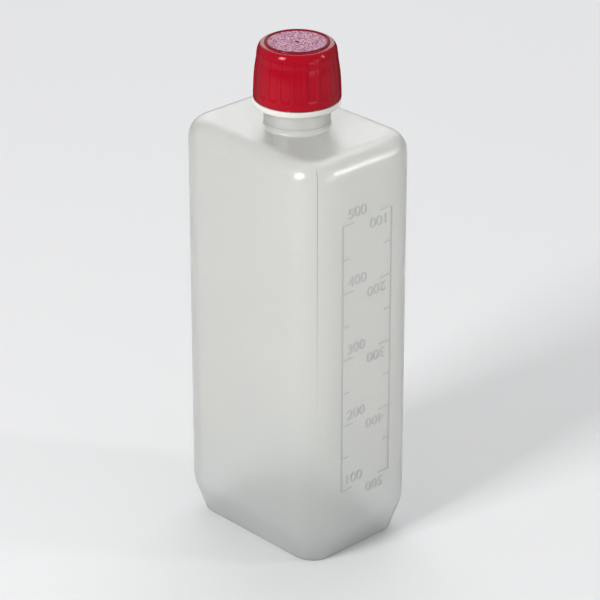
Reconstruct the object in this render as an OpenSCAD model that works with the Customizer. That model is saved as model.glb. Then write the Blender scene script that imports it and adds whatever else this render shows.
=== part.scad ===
// Rectangular laboratory bottle, 500 ml, with a ribbed screw cap and a tamper ring.
// Millimetres, +Z up. The origin is the middle of the foot. The scale is on the -Y face.

/* [Body] */
// Width of the bottle along X, across the face with the scale
body_width = 55.4; // [50:0.1:62]
// Depth of the bottle along Y, across the plain face
body_depth = 73.7; // [66:0.1:80]
// Height of the flat shoulder above the table
body_height = 163.6; // [150:0.1:165]
// Thickness of the blown wall
wall = 1.0; // [0.8:0.05:1.4]
// Radius of the four upright corners
corner_radius = 13.1; // [12:0.1:15]
// Radius between the walls and the flat shoulder
shoulder_radius = 7.5; // [4:0.5:9]

/* [Base] */
// How far the foot is set in from the walls
foot_inset = 4.8; // [3:0.1:6]
// Height at which the slope above the foot runs out to the wall
slope_height = 13.5; // [10:0.1:18]
// Radius that blends the slope into the wall
slope_blend = 18; // [12:1:24]
// Radius of the edge that the bottle stands on
foot_radius = 1.8; // [1.6:0.1:2.5]
// Depth of the hollow panel under the base
base_hollow = 1.2; // [0.6:0.1:1.6]
// Width of the flat rim round the hollow panel
base_rim = 5; // [4:0.5:7]

/* [Neck] */
// Radius of the plain neck
neck_radius = 12.3; // [12.2:0.05:12.4]
// Radius of the bore through the neck
neck_bore = 11; // [10.5:0.1:11.1]
// Radius between the shoulder and the neck
neck_blend = 0.8; // [0.6:0.1:1.2]
// Radius of the thread's crest on the neck
thread_radius = 13.75; // [13.4:0.05:13.8]
// Turns of thread on the neck
thread_turns = 1.75; // [1.5:0.25:2]
// Radius of the bead that holds the tamper ring
bead_radius = 14; // [13.8:0.05:14.05]

/* [Closure] */
// Height of the cap's lower edge above the table
cap_bottom = 174.6; // [174.2:0.1:175.5]
// Height of the cap from its lower edge to its top
cap_height = 21.4; // [21:0.1:22]
// Radius of the cap at its lower edge
cap_radius = 16.1; // [15.9:0.05:16.5]
// How much smaller the radius is where the cap's round shoulder starts
cap_taper = 1.2; // [0.8:0.1:1.4]
// Radius of the raised disc on top of the cap
cap_disc_radius = 11.9; // [11:0.1:12.2]
// Number of ribs round the cap
rib_count = 20; // [16:1:24]
// Depth of the flutes between the ribs
flute_depth = 0.25; // [0.2:0.05:0.5]
// Thickness of the sealing liner
liner_thickness = 1.2; // [0.8:0.1:1.5]
// Height of the tamper ring without its bridges
ring_height = 2.5; // [2.4:0.1:2.6]
// Number of moulded bridges on the tamper ring
bridge_count = 10; // [6:1:14]

/* [Scale] */
// Rise of the liquid for each 100 ml
scale_step = 27.1; // [24:0.1:28]
// Height of the 100 ml mark above the table
first_mark = 30; // [28:0.1:32]
// How far the moulded scale stands out of the wall
relief = 0.25; // [0.2:0.05:0.3]
// Distance of the two upright scale lines from the middle of the face
scale_half_width = 12.2; // [11:0.1:13]
// How much higher the upside-down half of the scale sits
turned_rise = 0.95; // [0:0.05:1.5]
// Height of the numerals
digit_height = 3.9; // [3.4:0.1:4.2]

/* [Hidden] */
$fn = 96;
eps = 0.01;

// Corner axes of the rounded rectangle
corner_x = body_width / 2 - corner_radius;
corner_y = body_depth / 2 - corner_radius;

// Base: the slope leans out by slope_lean from the upright
arc_steps = 8;
slope_lean = atan2(foot_inset, slope_height);
foot_reach = foot_radius * tan((90 - slope_lean) / 2);
blend_reach = slope_blend * tan(slope_lean / 2);

// Base: the panel's sides run in by panel_slope times its depth
panel_slope = 2;

// How far a cutting shape reaches past the surface it opens
below = 1;

// Heights of the neck and the closure, above the table
cap_roof = 1.8;
liner_top = cap_bottom + cap_height - cap_roof;
liner_play = 0.25;
neck_top = liner_top - liner_thickness;
neck_root = 2;
lip_chamfer = 0.4;
ring_gap = 0.3;
ring_bottom = cap_bottom - ring_gap - ring_height;
bead_bottom = ring_bottom + 1.2;
bead_edge = 0.5;
bead_height = 1.3;
flare = neck_blend + 1.2;

// Thread: both threads share the pitch, and the cap's lies just under the neck's
thread_pitch = 3.2;
thread_root_width = 1.7;
thread_crest_width = 0.7;
thread_start = cap_bottom + 5.8;
cap_thread_radius = 12.8;
cap_thread_drop = 1.45;
thread_steps = 36;
thread_fade_steps = 4;
thread_end_share = 0.2;
thread_bury = 0.45;

// Cap: heights above its own lower edge
cap_inside = 14.3;
cap_upper_inside = 13.1;
cap_cone_bottom = 12.2;
cap_cone_top = 13.8;
cap_band = 3;
cap_edge = 0.3;
cap_side_top = 15.3;
cap_side_power = 2.5;
cap_disc_rise = 0.65;
cap_ledge = cap_height - cap_disc_rise;
cap_ledge_radius = 12.85;
cap_disc_foot = 0.25;
cap_rim_edge = 0.15;
cap_rim_width = 0.5;
cap_recess = 0.4;
flute_top = 18;
side_steps = 8;
rib_pitch = 360 / rib_count;
flute_share = 0.7;
rib_turn = 4.2;

// Tamper ring: the lip that catches under the bead, and the rounding of its lower edge
ring_lip = 12.85;
ring_lip_height = 0.7;
ring_play = 0.35;
ring_inset = 0.05;
ring_round = 0.7;
bridge = [1.1, 0.8, ring_gap - 0.05];
bridge_inset = 0.2;

// Scale
mark_count = 9;
line_width = 0.55;
long_tick = 5.4;
short_tick = 3.2;
digit_width = 2.8;
one_width = 1.2;
digit_gap = 0.75;
digit_stroke = 0.55;
label_indent = 2.7;
label_lift = 1.9;
pie_steps = 6;

function ring_point(centre, radius, angle) = centre + radius * [cos(angle), sin(angle)];

// Points on an arc, as [distance in from the wall, height], for a skin t inside the outer one
function skin_arc(centre, radius, from, to, t) =
    [for (i = [0 : arc_steps]) ring_point(centre, radius - t, from + (to - from) * i / arc_steps)];

// Outline from the foot up to the shoulder, for a skin t inside the outer one
function skin(t) = concat(
    skin_arc([foot_inset + foot_reach, foot_radius], foot_radius, -90, -180 + slope_lean, t),
    skin_arc([slope_blend, slope_height + blend_reach], slope_blend, -180 + slope_lean, -180, t),
    skin_arc([shoulder_radius, body_height - shoulder_radius], shoulder_radius, 180, 90, t)
);

// The same outline measured outwards from a corner axis, closed along the axis
function skin_section(t) = concat(
    [[0, t]],
    [for (p = skin(t)) [corner_radius - p[0], p[1]]],
    [[0, body_height - t]]
);

module stand_up() { rotate([90, 0, 0]) children(); }

// One skin of the body, filled: four corners, two end slabs and the middle
module body_form(t) {
    section = skin_section(t);
    for (turn = [0, 180]) rotate([0, 0, turn]) {
        translate([corner_x, corner_y, 0])
            rotate_extrude(angle = 90)
                polygon(section);
        translate([-corner_x, corner_y, 0])
            rotate([0, 0, 90])
                rotate_extrude(angle = 90)
                    polygon(section);
        translate([-corner_x, corner_y, 0])
            rotate([0, 0, 90])
                stand_up()
                    mirror([0, 0, 1])
                        translate([0, 0, -2 * corner_x])
                            linear_extrude(height = 2 * corner_x)
                                polygon(section);
        translate([corner_x, corner_y, 0])
            stand_up()
                linear_extrude(height = 2 * corner_y)
                    polygon(section);
    }
    translate([-corner_x, -corner_y, t])
        cube([2 * corner_x, 2 * corner_y, body_height - 2 * t]);
}

// Half of the hollow panel's outline on one axis, for a skin t above the outer one
function panel_outline(half, t) =
    let (run = panel_slope * base_hollow)
    [
        [-half - t, -below], [-half - t, t], [run - half - t, base_hollow + t],
        [half + t - run, base_hollow + t], [half + t, t], [half + t, -below]
    ];

// Hollow under the base: a shallow panel with sloping sides
module base_panel(t) {
    half_x = body_width / 2 - foot_inset - base_rim;
    half_y = body_depth / 2 - foot_inset - base_rim;
    intersection() {
        stand_up()
            linear_extrude(height = 2 * body_depth, center = true)
                polygon(panel_outline(half_x, t));
        rotate([0, 0, 90])
            stand_up()
                linear_extrude(height = 2 * body_width, center = true)
                    polygon(panel_outline(half_y, t));
    }
}

// A thread: one tapered ridge swept up a helix, its foot buried in the wall, low at both ends.
// root and crest are radii; side is 1 for a ridge on a neck and -1 for one inside a cap.
module helix_thread(root, crest, start, turns, side) {
    foot = root - side * thread_bury;
    steps = round(turns * thread_steps);
    function fade(i) = min(1, min(i, steps - i) / thread_fade_steps);
    function ridge(i) =
        let (
            reach = root + (crest - root) * (thread_end_share + (1 - thread_end_share) * fade(i)),
            angle = 360 * i / thread_steps,
            rise = start + thread_pitch * i / thread_steps
        )
        [for (p = [
            [foot, -thread_root_width / 2],
            [reach, -thread_crest_width / 2],
            [reach, thread_crest_width / 2],
            [foot, thread_root_width / 2]
        ]) [p[0] * cos(angle), p[0] * sin(angle), rise + p[1]]];
    points = [for (i = [0 : steps]) each ridge(i)];
    walls = [for (i = [0 : steps - 1]) for (k = [0 : 3])
        [4 * i + k, 4 * i + (k + 1) % 4, 4 * (i + 1) + (k + 1) % 4, 4 * (i + 1) + k]];
    faces = concat(walls, [[3, 2, 1, 0]], [[for (k = [0 : 3]) 4 * steps + k]]);
    polyhedron(points, side > 0 ? faces : [for (f = faces) [for (k = [3 : -1 : 0]) f[k]]]);
}

// Outside of the neck, filled
module neck_form() {
    rotate_extrude()
        polygon(concat(
            [[0, body_height - neck_root], [neck_radius + neck_blend, body_height - neck_root]],
            [for (i = [0 : arc_steps])
                ring_point([neck_radius + neck_blend, body_height + neck_blend], neck_blend,
                    -90 - 90 * i / arc_steps)],
            [
                [neck_radius, bead_bottom],
                [bead_radius, bead_bottom],
                [bead_radius, bead_bottom + bead_edge],
                [neck_radius, bead_bottom + bead_height],
                [neck_radius, neck_top - lip_chamfer],
                [neck_radius - lip_chamfer, neck_top],
                [0, neck_top]
            ]
        ));
}

// Space inside the neck, with a round entry from the body
module neck_space() {
    ceiling = body_height - wall;
    rotate_extrude()
        polygon(concat(
            [[0, ceiling - neck_root], [neck_bore + flare, ceiling - neck_root]],
            [for (i = [0 : arc_steps])
                ring_point([neck_bore + flare, ceiling + flare], flare, -90 - 90 * i / arc_steps)],
            [[neck_bore, neck_top + below], [0, neck_top + below]]
        ));
}

// A straight stroke of a numeral between two points
module bar(from, to) {
    run = to - from;
    length = norm(run);
    translate(from)
        rotate(atan2(run[1], run[0]))
            translate([-digit_stroke / 2, -digit_stroke / 2])
                square([length + digit_stroke, digit_stroke]);
}

// A round stroke of a numeral: part of a ring between two angles
module bow(centre, radius, from, to) {
    far = 2 * radius;
    translate(centre) intersection() {
        difference() {
            circle(radius + digit_stroke / 2);
            circle(radius - digit_stroke / 2);
        }
        polygon(concat(
            [[0, 0]],
            [for (i = [0 : pie_steps]) ring_point([0, 0], far, from + (to - from) * i / pie_steps)]
        ));
    }
}

// One numeral, its lower left corner at the origin
module digit(value) {
    inset = digit_stroke / 2;
    left = inset;
    right = digit_width - inset;
    low = inset;
    high = digit_height - inset;
    mid = digit_width / 2;
    round_r = right - mid;
    small_r = (high - low) / 4;
    flag = 0.8;
    foot = 0.5;
    if (value == 0) {
        bow([mid, high - round_r], round_r, 0, 180);
        bow([mid, low + round_r], round_r, -180, 0);
        bar([left, low + round_r], [left, high - round_r]);
        bar([right, low + round_r], [right, high - round_r]);
    }
    if (value == 1) {
        bar([one_width - inset, low], [one_width - inset, high]);
        bar([left, high - flag], [one_width - inset, high]);
    }
    if (value == 2) {
        bow([mid, high - round_r], round_r, -40, 170);
        bar([left, low], [mid + round_r * cos(40), high - round_r - round_r * sin(40)]);
        bar([left, low], [right, low]);
    }
    if (value == 3) {
        bow([mid, high - small_r], small_r, -90, 160);
        bow([mid, low + small_r], small_r, -160, 90);
    }
    if (value == 4) {
        bar([right - foot, low], [right - foot, high]);
        bar([left, low + flag], [right - foot, high]);
        bar([left, low + flag], [right, low + flag]);
    }
    if (value == 5) {
        bow([mid, low + round_r], round_r, -160, 120);
        bar([left, high], [right, high]);
        bar([left, high - 2 * small_r], [left, high]);
        bar([left, high - 2 * small_r], [mid, low + 2 * round_r]);
    }
}

// A number of hundreds, such as 300
module hundreds(count) {
    first_width = count == 1 ? one_width : digit_width;
    digit(count);
    translate([first_width + digit_gap, 0]) digit(0);
    translate([first_width + digit_width + 2 * digit_gap, 0]) digit(0);
}

// Half of the scale as a flat drawing, in the plane of the face: a line, its ticks and its numbers
module half_scale() {
    lowest = first_mark;
    highest = first_mark + scale_step * (mark_count - 1) / 2;
    translate([-scale_half_width - line_width / 2, lowest - line_width / 2])
        square([line_width, highest - lowest + line_width]);
    for (i = [0 : mark_count - 1]) {
        whole = i % 2 == 0;
        level = first_mark + scale_step * i / 2;
        translate([-scale_half_width, level - line_width / 2])
            square([whole ? long_tick : short_tick, line_width]);
        if (whole)
            translate([-scale_half_width + label_indent, level + label_lift])
                hundreds(1 + i / 2);
    }
}

// The whole scale, raised on the -Y face; the second half reads the other way up
module scale_relief() {
    middle = first_mark + scale_step * (mark_count - 1) / 4;
    translate([0, -body_depth / 2 + wall / 2, 0])
        stand_up()
            linear_extrude(height = relief + wall / 2) {
                half_scale();
                translate([0, 2 * middle + turned_rise]) rotate(180) half_scale();
            }
}

module bottle() {
    color([0.85, 0.86, 0.83, 0.6]) {
        difference() {
            union() {
                body_form(0);
                neck_form();
                scale_relief();
            }
            difference() {
                body_form(wall);
                base_panel(wall);
            }
            neck_space();
            base_panel(0);
        }
        helix_thread(neck_radius, thread_radius, thread_start, thread_turns, 1);
    }
}

// Radius of the cap's outside at a height: a bowed side, then a quarter of an ellipse up to the ledge
function cap_side(z) = cap_radius - cap_taper * pow(z / cap_side_top, cap_side_power);
function cap_shoulder(z) =
    let (rise = (z - cap_side_top) / (cap_ledge - cap_side_top))
    cap_ledge_radius + (cap_side(cap_side_top) - cap_ledge_radius) * sqrt(1 - rise * rise);
function cap_outside(z) = z < cap_side_top ? cap_side(z) : cap_shoulder(z);

// Outline of the filled cap, from its lower edge up to the middle of its top
function cap_outline() = concat(
    [[0, 0], [cap_radius - cap_edge, 0]],
    [for (i = [0 : side_steps])
        let (z = cap_edge + (cap_side_top - cap_edge) * i / side_steps) [cap_side(z), z]],
    [for (i = [1 : arc_steps])
        let (z = cap_side_top + (cap_ledge - cap_side_top) * sin(90 * i / arc_steps)) [cap_shoulder(z), z]],
    [
        [cap_disc_radius + cap_disc_foot, cap_ledge],
        [cap_disc_radius, cap_ledge + cap_disc_foot],
        [cap_disc_radius, cap_height - cap_rim_edge],
        [cap_disc_radius - cap_rim_edge, cap_height],
        [cap_disc_radius - cap_rim_width, cap_height],
        [cap_disc_radius - cap_rim_width - cap_recess, cap_height - cap_recess],
        [0, cap_height - cap_recess]
    ]
);

// Section of one flute, cut into the outside
function flute_section() = concat(
    [for (i = [0 : side_steps])
        let (z = cap_band + (flute_top - cap_band) * i / side_steps) [cap_outside(z) - flute_depth, z]],
    [[cap_radius + below, flute_top], [cap_radius + below, cap_band]]
);

// Space inside the cap, without its thread
module cap_space() {
    rotate_extrude()
        polygon([
            [0, -below],
            [cap_inside, -below],
            [cap_inside, cap_cone_bottom],
            [cap_upper_inside, cap_cone_top],
            [cap_upper_inside, cap_height - cap_roof],
            [0, cap_height - cap_roof]
        ]);
}

module screw_cap() {
    color("crimson") translate([0, 0, cap_bottom]) {
        difference() {
            rotate_extrude() polygon(cap_outline());
            cap_space();
            for (i = [0 : rib_count - 1])
                rotate([0, 0, rib_turn + rib_pitch * (i + (1 - flute_share) / 2)])
                    rotate_extrude(angle = rib_pitch * flute_share)
                        polygon(flute_section());
        }
        helix_thread(cap_inside, cap_thread_radius, thread_start - cap_bottom - cap_thread_drop,
            thread_turns, -1);
    }
}

module seal_liner() {
    color("white")
        translate([0, 0, neck_top])
            cylinder(h = liner_thickness, r = cap_upper_inside - liner_play);
}

module tamper_ring() {
    inside = bead_radius + ring_play;
    outside = cap_radius - ring_inset;
    color("ivory") {
        translate([0, 0, ring_bottom])
            rotate_extrude()
                polygon(concat(
                    [[ring_lip, 0]],
                    [for (i = [0 : 3])
                        ring_point([outside - ring_round, ring_round], ring_round, 30 * i - 90)],
                    [
                        [outside, ring_height],
                        [inside, ring_height],
                        [inside, ring_lip_height + ring_play],
                        [ring_lip, ring_lip_height]
                    ]
                ));
        for (i = [0 : bridge_count - 1])
            rotate([0, 0, 360 * i / bridge_count])
                translate([inside + bridge_inset, -bridge[1] / 2, ring_bottom + ring_height - eps])
                    cube([bridge[0], bridge[1], bridge[2] + eps]);
    }
}

bottle();
screw_cap();
seal_liner();
tamper_ring();
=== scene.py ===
"""Looks of a rectangular laboratory bottle with a screw cap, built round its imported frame.

Metres, +Z up, origin at the middle of the foot. The moulded scale is on the -Y face.
"""
import math

import bmesh
import bpy
from mathutils import Matrix, Vector


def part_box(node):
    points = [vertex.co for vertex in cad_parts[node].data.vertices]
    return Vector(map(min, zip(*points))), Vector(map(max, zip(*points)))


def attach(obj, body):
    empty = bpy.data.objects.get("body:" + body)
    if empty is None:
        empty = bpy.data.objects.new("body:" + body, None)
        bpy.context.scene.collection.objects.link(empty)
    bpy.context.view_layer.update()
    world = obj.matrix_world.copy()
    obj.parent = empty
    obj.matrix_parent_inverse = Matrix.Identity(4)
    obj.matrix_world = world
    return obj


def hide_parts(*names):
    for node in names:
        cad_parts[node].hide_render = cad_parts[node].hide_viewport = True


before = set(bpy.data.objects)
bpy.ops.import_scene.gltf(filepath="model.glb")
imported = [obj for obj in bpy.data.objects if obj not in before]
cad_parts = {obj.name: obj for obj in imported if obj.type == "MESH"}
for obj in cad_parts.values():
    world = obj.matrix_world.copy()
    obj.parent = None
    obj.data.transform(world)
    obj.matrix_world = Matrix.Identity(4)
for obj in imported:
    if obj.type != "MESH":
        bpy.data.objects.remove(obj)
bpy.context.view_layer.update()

MM = 0.001

# ---------------------------------------------------------------- sizes taken from the frame
bottle_low, bottle_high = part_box("bottle")
cap_low, cap_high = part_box("screw_cap")
ring_low, ring_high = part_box("tamper_ring")
liner_low, liner_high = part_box("seal_liner")

HALF_WIDTH = bottle_high.x
HALF_DEPTH = bottle_high.y
NECK_TOP = bottle_high.z
RELIEF = -bottle_low.y - HALF_DEPTH
CAP_RADIUS = cap_high.x
CAP_BOTTOM = cap_low.z
CAP_HEIGHT = cap_high.z - cap_low.z

# ---------------------------------------------------------------- the bottle
WALL = 1.0 * MM
CORNER = 13.1 * MM
SHOULDER = 7.5 * MM
SHOULDER_TOP = 163.6 * MM
FOOT_INSET = 4.8 * MM
SLOPE_HEIGHT = 13.5 * MM
SLOPE_BLEND = 18 * MM
FOOT_RADIUS = 1.8 * MM
BASE_HOLLOW = 1.2 * MM
BASE_RIM = 5 * MM
PANEL_RADIUS = 4 * MM

NECK_RADIUS = 12.3 * MM
NECK_BORE = 11 * MM
NECK_BLEND = 0.8 * MM
NECK_FLARE = 2 * MM
LIP_ROUND = 0.4 * MM
BEAD_RADIUS = 14 * MM
BEAD_BOTTOM = 173 * MM
BEAD_HEIGHT = 1.3 * MM

THREAD_RADIUS = 13.75 * MM
THREAD_START = 180.4 * MM
THREAD_PITCH = 3.2 * MM
THREAD_TURNS = 1.75
THREAD_ROOT = 1.7 * MM
THREAD_CREST = 0.7 * MM
THREAD_FADE = math.radians(40)
THREAD_ROW = 0.14 * MM

CORNER_STEPS = 20
SIDE_STEPS = 44
RING_POINTS = 4 * (CORNER_STEPS + SIDE_STEPS)

# ---------------------------------------------------------------- the moulded scale
FIRST_MARK = 30 * MM
SCALE_STEP = 27.1 * MM
TURNED_RISE = 0.95 * MM
MARKS = 9
SCALE_HALF_WIDTH = 12.2 * MM
LINE_WIDTH = 0.55 * MM
LONG_TICK = 5.4 * MM
SHORT_TICK = 3.2 * MM
LABEL_INDENT = 2.7 * MM
LABEL_LIFT = 1.9 * MM
LABEL_HEIGHT = 4.0 * MM
LABEL_STRETCH = 1.13
LABEL_BOLD = 0.008
RELIEF_SINK = 0.45 * MM

# ---------------------------------------------------------------- the cap, the ring and the liner
CAP_TAPER = 1.2 * MM
CAP_SIDE_TOP = 15.3 * MM
CAP_SIDE_POWER = 2.5
CAP_LEDGE_RADIUS = 12.85 * MM
CAP_DISC_RADIUS = 11.9 * MM
CAP_DISC_RISE = 0.65 * MM
CAP_RECESS = 0.4 * MM
CAP_ROOF = 1.8 * MM
CAP_INSIDE = 14.3 * MM
CAP_UPPER_INSIDE = 13.1 * MM
CAP_BAND = 3 * MM
FLUTE_TOP = 18.7 * MM
CAP_THREAD_RADIUS = 12.8 * MM
CAP_THREAD_DROP = 1.45 * MM
CAP_NARROW_FROM = 12.2 * MM
CAP_NARROW_TO = 13.8 * MM
CAP_LOWER_EDGE = 0.3 * MM
SHOULDER_STEPS = 28
SIDE_ROWS = 32
MATT_DISC_RADIUS = 10.6 * MM
GATE_RADIUS = 0.75 * MM
GATE_DEPTH = 0.25 * MM

RIBS = 20
RIB_TURN = math.radians(4.2)
FLUTE_DEPTH = 0.25 * MM
FLUTE_SHARE = 0.7
FLUTE_ARCH = 0.2 * MM
FLUTE_TOP_EASE = 0.4 * MM
FLUTE_BOTTOM_EASE = 0.9 * MM
# how far the cosine wave round the cap swings to either side of a flute's edge while the edge is eased
FLUTE_EDGE = 0.13
# where points stand in the first half of a rib's pitch, as shares of the pitch, closest at the edge, 0.15
HALF_RIB = (0.0, 0.05, 0.1, 0.125, 0.138, 0.15, 0.162, 0.175, 0.2, 0.27, 0.35, 0.42)
RIB_POINTS = HALF_RIB + (0.5,) + tuple(1 - share for share in reversed(HALF_RIB[1:]))

RING_LIP = 12.85 * MM
RING_INSIDE = BEAD_RADIUS + 0.35 * MM
RING_OUTSIDE = ring_high.x
RING_POINTS_ROUND = 192
RING_BRIDGES = 10
BRIDGE_WIDTH = 0.8 * MM
BRIDGE_DEPTH = 1.1 * MM
BRIDGE_HEIGHT = 0.25 * MM
BRIDGE_SINK = 0.04 * MM

LINER_GROOVE_HALF = 0.45 * MM
LINER_GROOVE_FLATTEN = 0.3
LINER_POINTS_ROUND = 128

# ---------------------------------------------------------------- the camera and the lamps
CAMERA_AZIMUTH = math.radians(-43.356)
CAMERA_ELEVATION = math.radians(25.846)
CAMERA_DISTANCE = 1.1401
CAMERA_LENS = 180
PICTURE_SIZE = 600
AIM_HEIGHT = 54.2 * MM
AIM_PIXEL = (297.37, 390.26)
SENSOR_WIDTH = 36.0
LAMP_AIM_HEIGHT = 100 * MM


# ================================================================ helpers for meshes
def arc(centre, radius, start, end, steps):
    """Points (distance, height) on an arc, angles in degrees."""
    points = []
    for i in range(steps + 1):
        angle = math.radians(start + (end - start) * i / steps)
        points.append((centre[0] + radius * math.cos(angle), centre[1] + radius * math.sin(angle)))
    return points


def loft(name, rings, closed_ends=True):
    """A mesh through rings that have the same number of points, its ends closed at their middles."""
    count = len(rings[0])
    points = [p for ring in rings for p in ring]
    faces = []
    for r in range(len(rings) - 1):
        low, high = r * count, (r + 1) * count
        for k in range(count):
            after = (k + 1) % count
            faces.append((low + k, low + after, high + after, high + k))
    if closed_ends:
        first = len(points)
        points.append(sum((Vector(p) for p in rings[0]), Vector()) / count)
        points.append(sum((Vector(p) for p in rings[-1]), Vector()) / count)
        last_ring = (len(rings) - 1) * count
        for k in range(count):
            after = (k + 1) % count
            faces.append((first, after, k))
            faces.append((first + 1, last_ring + k, last_ring + after))
    mesh = bpy.data.meshes.new(name)
    mesh.from_pydata([tuple(p) for p in points], [], faces)
    piece = bpy.data.objects.new(name, mesh)
    bpy.context.scene.collection.objects.link(piece)
    return piece


def even_angles(count):
    """Angles spread evenly over one turn."""
    return [2 * math.pi * k / count for k in range(count)]


def lathe(name, outline, angles, radius_at=None, closed_ends=True):
    """Turns an outline of (radius, height) round Z; radius_at may change the radius by angle."""
    rings = []
    for radius, height in outline:
        ring = []
        for angle in angles:
            r = radius_at(radius, height, angle) if radius_at else radius
            ring.append((r * math.cos(angle), r * math.sin(angle), height))
        rings.append(ring)
    return loft(name, rings, closed_ends)


def point_outwards(piece):
    """Merges doubled points and turns every face outwards."""
    mesh = bmesh.new()
    mesh.from_mesh(piece.data)
    bmesh.ops.remove_doubles(mesh, verts=mesh.verts, dist=1e-7)
    bmesh.ops.recalc_face_normals(mesh, faces=mesh.faces)
    mesh.to_mesh(piece.data)
    mesh.free()


def smooth(piece, angle=35):
    """Smooth shading that keeps edges sharper than angle, in degrees."""
    piece.data.shade_smooth()
    piece.data.set_sharp_from_angle(angle=math.radians(angle))


def apply_modifiers(piece):
    """Turns what the modifiers make into the piece's own plain mesh."""
    graph = bpy.context.evaluated_depsgraph_get()
    made = bpy.data.meshes.new_from_object(piece.evaluated_get(graph))
    piece.modifiers.clear()
    piece.data = made
    made.name = piece.name


def join(name, pieces):
    """One object from several."""
    mesh = bmesh.new()
    for piece in pieces:
        mesh.from_mesh(piece.data)
    made = bpy.data.meshes.new(name)
    mesh.to_mesh(made)
    mesh.free()
    for piece in pieces:
        bpy.data.objects.remove(piece)
    joined = bpy.data.objects.new(name, made)
    bpy.context.scene.collection.objects.link(joined)
    return joined


def thread_height(angle, height, start):
    """How far a thread stands out at a place, from 0 to 1: a tapered ridge, low at both ends."""
    tallest = 0.0
    total = 2 * math.pi * THREAD_TURNS
    turned = angle
    while turned <= total:
        off = abs(height - start - THREAD_PITCH * turned / (2 * math.pi))
        slope = (THREAD_ROOT / 2 - off) / ((THREAD_ROOT - THREAD_CREST) / 2)
        slope = max(0.0, min(1.0, slope))
        fade = max(0.0, min(1.0, min(turned, total - turned) / THREAD_FADE))
        tallest = max(tallest, slope * slope * (3 - 2 * slope) * fade)
        turned += 2 * math.pi
    return tallest


# ================================================================ helpers for node trees
def feed(tree, socket, value):
    """Sets a socket to a value, or links it to another node's socket."""
    if isinstance(value, bpy.types.NodeSocket):
        tree.links.new(value, socket)
    else:
        socket.default_value = value


def place(tree, kind, **inputs):
    """Adds a node; inputs are set by name, from a number, a vector or another node's socket."""
    node = tree.nodes.new(kind)
    for name, value in inputs.items():
        feed(tree, node.inputs[name.replace("_", " ")], value)
    return node


def maths(tree, operation, *values):
    """A Math node's result; each value is a number or another node's socket."""
    node = tree.nodes.new("ShaderNodeMath")
    node.operation = operation
    for socket, value in zip(node.inputs, values):
        feed(tree, socket, value)
    return node.outputs[0]


def ramp(tree, value, low, high, to_low=0.0, to_high=1.0):
    """value from low to high, eased onto to_low to to_high."""
    node = tree.nodes.new("ShaderNodeMapRange")
    node.interpolation_type = "SMOOTHSTEP"
    for name, number in (("From Min", low), ("From Max", high), ("To Min", to_low), ("To Max", to_high)):
        node.inputs[name].default_value = number
    tree.links.new(value, node.inputs["Value"])
    return node.outputs["Result"]


def mix_colour(tree, factor, first, second):
    """A colour between first and second."""
    node = tree.nodes.new("ShaderNodeMix")
    node.data_type = "RGBA"
    for socket, value in ((node.inputs[0], factor), (node.inputs[6], first), (node.inputs[7], second)):
        feed(tree, socket, (*value, 1) if isinstance(value, tuple) else value)
    return node.outputs[2]


def new_group(name, kind, inputs, outputs):
    """A node group with named sockets, each (name, type, value)."""
    tree = bpy.data.node_groups.new(name, kind)
    for label, socket_type, value in inputs:
        socket = tree.interface.new_socket(label, in_out="INPUT", socket_type=socket_type)
        if value is not None:
            socket.default_value = value
    for label, socket_type in outputs:
        tree.interface.new_socket(label, in_out="OUTPUT", socket_type=socket_type)
    return tree, tree.nodes.new("NodeGroupInput"), tree.nodes.new("NodeGroupOutput")


def run_nodes(piece, tree, values):
    """Runs a Geometry Nodes tree on a piece with its named inputs, and keeps the result as a plain mesh."""
    modifier = piece.modifiers.new(tree.name, "NODES")
    modifier.node_group = tree
    for item in tree.interface.items_tree:
        if item.item_type == "SOCKET" and item.in_out == "INPUT" and item.name in values:
            modifier[item.identifier] = values[item.name]
    apply_modifiers(piece)


# ================================================================ materials
def moulded_surface_group():
    """Surface of moulded plastic: long soft waves, a fine grain, and a slow drift in tone."""
    tree, given, result = new_group(
        "Moulded surface",
        "ShaderNodeTree",
        [
            ("Wave Scale", "NodeSocketFloat", 60.0),
            ("Wave Height", "NodeSocketFloat", 0.0001),
            ("Grain Scale", "NodeSocketFloat", 2500.0),
            ("Grain Height", "NodeSocketFloat", 0.00001),
        ],
        [("Normal", "NodeSocketVector"), ("Drift", "NodeSocketFloat")],
    )
    position = tree.nodes.new("ShaderNodeTexCoord").outputs["Object"]
    waves = place(tree, "ShaderNodeTexNoise", Vector=position, Scale=given.outputs["Wave Scale"], Detail=1.5)
    grain = place(tree, "ShaderNodeTexNoise", Vector=position, Scale=given.outputs["Grain Scale"], Detail=2.0)
    drift = place(tree, "ShaderNodeTexNoise", Vector=position, Scale=35.0, Detail=3.0)
    broad = place(tree, "ShaderNodeBump", Distance=given.outputs["Wave Height"], Height=waves.outputs["Fac"])
    fine = place(
        tree,
        "ShaderNodeBump",
        Distance=given.outputs["Grain Height"],
        Height=grain.outputs["Fac"],
        Normal=broad.outputs["Normal"],
    )
    tree.links.new(fine.outputs["Normal"], result.inputs["Normal"])
    tree.links.new(ramp(tree, drift.outputs["Fac"], 0.3, 0.7), result.inputs["Drift"])
    return tree


MOULDED = moulded_surface_group()


def moulded_surface(tree, waves, wave_height, grains, grain_height):
    """Places the moulded surface effect in a material with its own values."""
    node = tree.nodes.new("ShaderNodeGroup")
    node.node_tree = MOULDED
    values = {
        "Wave Scale": waves,
        "Wave Height": wave_height,
        "Grain Scale": grains,
        "Grain Height": grain_height,
    }
    for name, value in values.items():
        node.inputs[name].default_value = value
    return node


def new_material(name):
    """A material and its Principled shader."""
    material = bpy.data.materials.new(name)
    material.use_nodes = True
    return material, material.node_tree, material.node_tree.nodes["Principled BSDF"]


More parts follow.
